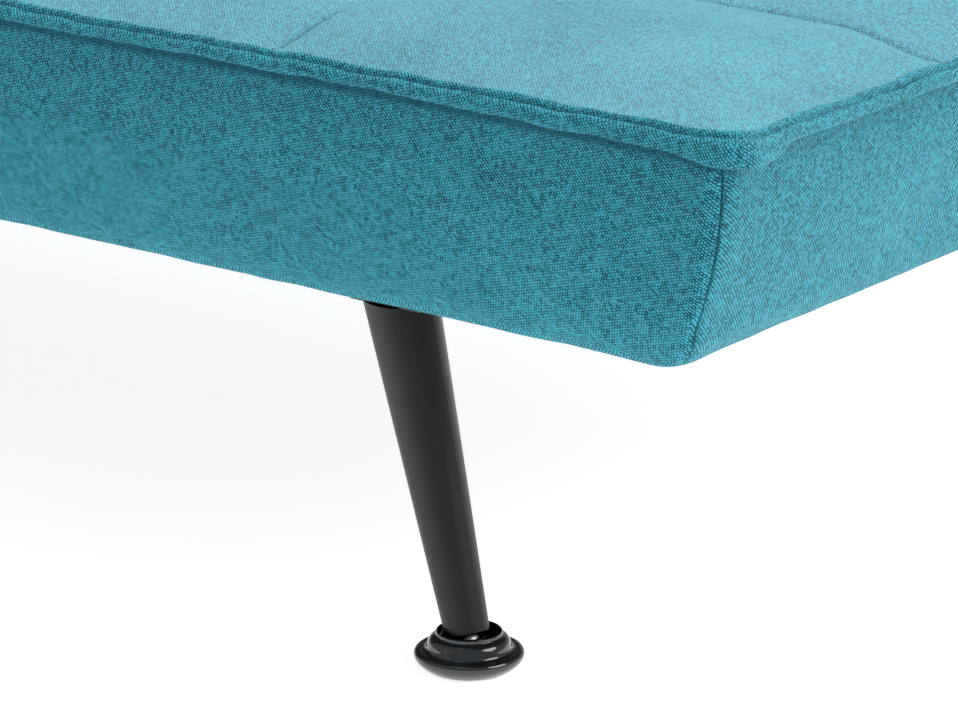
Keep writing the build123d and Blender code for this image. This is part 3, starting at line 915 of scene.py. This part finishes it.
def lining_sheet(name, low, high, level, place, slack):
    """A lining stretched between its staples: taut where slack is 0, sagging a little inwards where it is 1."""
    deselect()
    bpy.ops.mesh.primitive_grid_add(x_subdivisions=96, y_subdivisions=32, size=1.0)
    obj = bpy.context.object
    obj.name = name
    width = high.x - low.x
    depth = high.y - low.y
    for vertex in obj.data.vertices:
        x = vertex.co.x * width + (low.x + high.x) / 2
        y = vertex.co.y * depth + (low.y + high.y) / 2
        to_edge = min(x - low.x, high.x - x, y - low.y, high.y - y)
        inside = soft_step(to_edge, 0.0, LINING_MARGIN)
        sag = LINING_SAG * inside
        pull = LINING_PULL * math.sin(x / LINING_PULL_WAVE) * (1 - inside)
        vertex.co = place @ Vector((x, y, level + slack * (sag + pull)))
    apply_modifier(obj, "SOLIDIFY", thickness=LINING_THICK, offset=0.0)
    face_outwards(obj)
    bpy.ops.object.shade_smooth_by_angle(angle=math.radians(40))
    return obj


def staples(name, low, high, level, place):
    """A row of wire staples round the lining's edge, each turned a little out of line."""
    left, right = low.x + STAPLE_INSET, high.x - STAPLE_INSET
    near, far = low.y + STAPLE_INSET, high.y - STAPLE_INSET
    across = int((right - left) / STAPLE_SPACING)
    down = int((far - near) / STAPLE_SPACING)
    spots = []
    for i in range(across + 1):
        x = left + (right - left) * i / across
        spots += [(x, near, False), (x, far, False)]
    for i in range(1, down):
        y = near + (far - near) * i / down
        spots += [(left, y, True), (right, y, True)]
    deselect()
    bpy.ops.mesh.primitive_cube_add(size=1.0)
    pattern = bpy.context.object
    made = []
    for x, y, turned in spots:
        one = own_copy(pattern, name)
        size = Vector((STAPLE_WIDTH, STAPLE_WIRE * 1.6, STAPLE_WIRE))
        if turned:
            size.x, size.y = size.y, size.x
        tilt = Matrix.Rotation(noise.noise(Vector((x, y, 0.0)) * 31.0) * 0.35, 4, "Z")
        centre = Matrix.Translation((x, y, level - STAPLE_STANDS_OFF))
        one.data.transform(place @ centre @ tilt @ Matrix.Diagonal((*size, 1.0)))
        made.append(one)
    bpy.data.objects.remove(pattern)
    deselect()
    for one in made:
        one.select_set(True)
    bpy.context.view_layer.objects.active = made[0]
    bpy.ops.object.join()
    obj = bpy.context.object
    obj.name = name
    apply_modifier(obj, "BEVEL", width=0.0002, segments=1)
    return obj


class SOFA_OT_linings(bpy.types.Operator):
    """Staple the black linings under the seat and behind the back"""

    bl_idname = "sofa.linings"
    bl_label = "Linings"

    def execute(self, context):
        sizes = context.scene.sofa_sizes
        low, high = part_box("seat_dust_cover")
        still = Matrix.Identity(4)
        under = lining_sheet("seat_underlining", low, high, low.z + LINING_THICK, still, 0.0)
        dress(under, "lining", "root")
        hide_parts("seat_dust_cover")
        pins = staples("seat_lining_staples", low, high, low.z, still)
        dress(pins, "zinc_steel", "root")
        half = (SEAT_HIGH.x - SEAT_LOW.x) / 2
        near = 2 * PIVOT.y - SEAT_HIGH.y
        far = near + sizes.back_height
        level = SEAT_HIGH.z - sizes.back_thickness - LINING_THICK / 2
        back_low = Vector((-half + BACK_LINING_FROM_ENDS, near + BACK_LINING_FROM_HINGE, 0))
        back_high = Vector((half - BACK_LINING_FROM_ENDS, far - BACK_LINING_FROM_TOP, 0))
        rear = lining_sheet("back_lining", back_low, back_high, level, raised(), 1.0)
        dress(rear, "lining", "backrest")
        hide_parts("back_rear_panel")
        pins = staples("back_lining_staples", back_low, back_high, level, raised())
        dress(pins, "zinc_steel", "backrest")
        return {"FINISHED"}


# ---------------------------------------------------------------- levelling feet
# Outline of the foot, in millimetres: out from its axis, and up from the floor
FOOT_BASE = [(0, 0.0), (22.8, 0.0), (24.2, 0.7), (26.6, 2.4), (29.0, 4.6)]
FOOT_RIM = [(30.4, 6.8), (30.8, 8.6), (30.3, 10.2), (28.9, 11.2), (27.2, 11.2)]
FOOT_BULGE = [(25.2, 11.0), (23.8, 11.8), (23.2, 13.6), (22.9, 15.6), (21.9, 17.6), (20.2, 18.9), (18.6, 19.4)]
FOOT_COLLAR = [(18.2, 20.0), (18.5, 20.9), (18.3, 21.5), (17.8, 21.7), (17.4, 21.2)]
FOOT_SOCKET = [
    (17.2, 18.0), (17.2, 12.8), (16.6, 12.4), (9.8, 12.4), (9.5, 12.8), (9.5, 18.2), (9.2, 18.4), (6.2, 18.4)
]
FOOT_CUP = [(5.4, 17.6), (6.1, 15.0), (4.6, 10.9), (0, 8.9)]
FOOT_STEPS = 72
FOOT_MERGE = 0.00002


def spun(outline, steps):
    """A round piece spun from its outline about the Z axis."""
    deselect()
    bpy.ops.mesh.primitive_plane_add(size=MM)
    obj = bpy.context.object
    shape = bmesh.new()
    previous = None
    for r, z in outline:
        vertex = shape.verts.new((r * MM, 0, z * MM))
        if previous:
            shape.edges.new((previous, vertex))
        previous = vertex
    shape.to_mesh(obj.data)
    shape.free()
    bpy.ops.object.mode_set(mode="EDIT")
    bpy.ops.mesh.select_all(action="SELECT")
    bpy.ops.mesh.spin(steps=steps, angle=math.tau, center=(0, 0, 0), axis=(0, 0, 1))
    bpy.ops.mesh.select_all(action="SELECT")
    bpy.ops.mesh.remove_doubles(threshold=FOOT_MERGE)
    face_outwards(obj)
    apply_modifier(obj, "SUBSURF", levels=1, render_levels=1)
    bpy.ops.object.shade_smooth()
    return obj


class SOFA_OT_feet(bpy.types.Operator):
    """Turn the four glossy levelling feet"""

    bl_idname = "sofa.feet"
    bl_label = "Levelling feet"

    def execute(self, context):
        pattern = spun(FOOT_BASE + FOOT_RIM + FOOT_BULGE + FOOT_COLLAR + FOOT_SOCKET + FOOT_CUP, FOOT_STEPS)
        for end in ("front", "rear"):
            for side in ("right", "left"):
                node = f"{end}_{side}_foot"
                low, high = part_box(node)
                foot = own_copy(pattern, node + "_turned")
                foot.data.transform(Matrix.Translation(((low.x + high.x) / 2, (low.y + high.y) / 2, low.z)))
                dress(foot, "glide_plastic", f"{end}_{side}_glide")
                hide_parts(node)
        bpy.data.objects.remove(pattern)
        return {"FINISHED"}


class SOFA_OT_finishes(bpy.types.Operator):
    """Give every carried-over piece its finish"""

    bl_idname = "sofa.finishes"
    bl_label = "Finishes"

    def execute(self, context):
        made = finishes(context.scene)
        for slot, material in made.items():
            FINISH_NAMES[slot] = material.name
        for part in frame["record"]["subparts"]:
            node = frame["nodes"][part["node"]]
            material = made[part["material_slot"]]
            for place in node.material_slots:
                place.material = material
        return {"FINISHED"}


# ---------------------------------------------------------------- stage
VIEW_YAW = math.radians(37.2)
VIEW_PITCH = math.radians(17.27)
VIEW_DISTANCE = 2.4452
CORNER_RIGHT = 0.1286
CORNER_UP = 0.1037
LENS = 187.9
STUDIO_GLOW = 0.42
FLOOR_GLOW = 0.8
# Name, place, what it aims at, width in metres and power in watts
LIGHTS = (
    ("key", (3.4, 0.5, 2.4), (0.7, -0.1, 0.2), 2.4, 75),
    ("top", (0.4, 0.2, 3.4), (0.4, 0.0, 0.2), 3.0, 125),
    ("fill", (-1.2, -3.6, 1.4), (0.4, -0.4, 0.25), 2.6, 3),
)


class SOFA_OT_stage(bpy.types.Operator):
    """Set the floor, soft lights and camera"""

    bl_idname = "sofa.stage"
    bl_label = "Stage"

    def execute(self, context):
        self.floor()
        self.lights()
        self.camera(context)
        return {"FINISHED"}

    def floor(self):
        deselect()
        bpy.ops.mesh.primitive_plane_add(size=30, location=(0, 0, 0))
        floor = bpy.context.object
        floor.name = "floor"
        n = Nodes("Pale floor")
        floor.data.materials.append(n.finish(
            Base_Color=(0.90, 0.90, 0.90), Roughness=0.9,
            Emission_Color=(1.0, 1.0, 1.0), Emission_Strength=FLOOR_GLOW,
        ))

    def lights(self):
        world = bpy.data.worlds.new("Studio")
        bpy.context.scene.world = world
        world.use_nodes = True
        background = world.node_tree.nodes["Background"]
        background.inputs["Color"].default_value = (1.0, 1.0, 1.0, 1.0)
        background.inputs["Strength"].default_value = STUDIO_GLOW
        for lamp in LIGHTS:
            self.light(*lamp)
        bpy.context.scene.view_settings.view_transform = "Standard"

    def light(self, name, spot, aim, size, power):
        deselect()
        bpy.ops.object.light_add(type="AREA", location=spot)
        lamp = bpy.context.object
        lamp.name = name
        lamp.data.shape = "DISK"
        lamp.data.size = size
        lamp.data.energy = power
        lamp.rotation_euler = (Vector(aim) - Vector(spot)).to_track_quat("-Z", "Y").to_euler()

    def camera(self, context):
        corner = Vector((SEAT_HIGH.x, SEAT_LOW.y, SEAT_HIGH.z - context.scene.sofa_sizes.welt_drop))
        look = Vector((
            -math.sin(VIEW_YAW) * math.cos(VIEW_PITCH),
            math.cos(VIEW_YAW) * math.cos(VIEW_PITCH),
            -math.sin(VIEW_PITCH),
        ))
        right = Vector((math.cos(VIEW_YAW), math.sin(VIEW_YAW), 0))
        up = right.cross(look)
        spot = corner - look * VIEW_DISTANCE - right * CORNER_RIGHT - up * CORNER_UP
        deselect()
        bpy.ops.object.camera_add(location=spot, rotation=(math.pi / 2 - VIEW_PITCH, 0, VIEW_YAW))
        camera = bpy.context.object
        camera.data.lens = LENS
        camera.data.sensor_width = 36.0
        camera.data.clip_start = 0.1
        camera.data.clip_end = 60.0
        context.scene.camera = camera


class SOFA_PT_panel(bpy.types.Panel):
    """Buttons for the sofa's pieces"""

    bl_label = "Futon sofa bed"
    bl_idname = "SOFA_PT_panel"
    bl_space_type = "VIEW_3D"
    bl_region_type = "UI"
    bl_category = "Sofa"

    def draw(self, context):
        for group in (context.scene.sofa_sizes, context.scene.sofa_colours):
            for key in group.bl_rna.properties.keys():
                if key not in ("rna_type", "name"):
                    self.layout.prop(group, key)
        for operator in OPERATORS:
            self.layout.operator(operator.bl_idname)


OPERATORS = (
    SOFA_OT_finishes,
    SOFA_OT_stage,
    SOFA_OT_seat_cover,
    SOFA_OT_back_cover,
    SOFA_OT_linings,
    SOFA_OT_feet,
)
CLASSES = (SofaSizes, SofaColours, *OPERATORS, SOFA_PT_panel)


def register():
    for kind in CLASSES:
        bpy.utils.register_class(kind)
    bpy.types.Scene.sofa_sizes = bpy.props.PointerProperty(type=SofaSizes)
    bpy.types.Scene.sofa_colours = bpy.props.PointerProperty(type=SofaColours)


def unregister():
    del bpy.types.Scene.sofa_colours
    del bpy.types.Scene.sofa_sizes
    for kind in reversed(CLASSES):
        bpy.utils.unregister_class(kind)


def main():
    register()
    bpy.ops.sofa.finishes()
    bpy.ops.sofa.stage()
    bpy.ops.sofa.seat_cover()
    bpy.ops.sofa.back_cover()
    bpy.ops.sofa.linings()
    bpy.ops.sofa.feet()


if __name__ == "__main__":
    main()
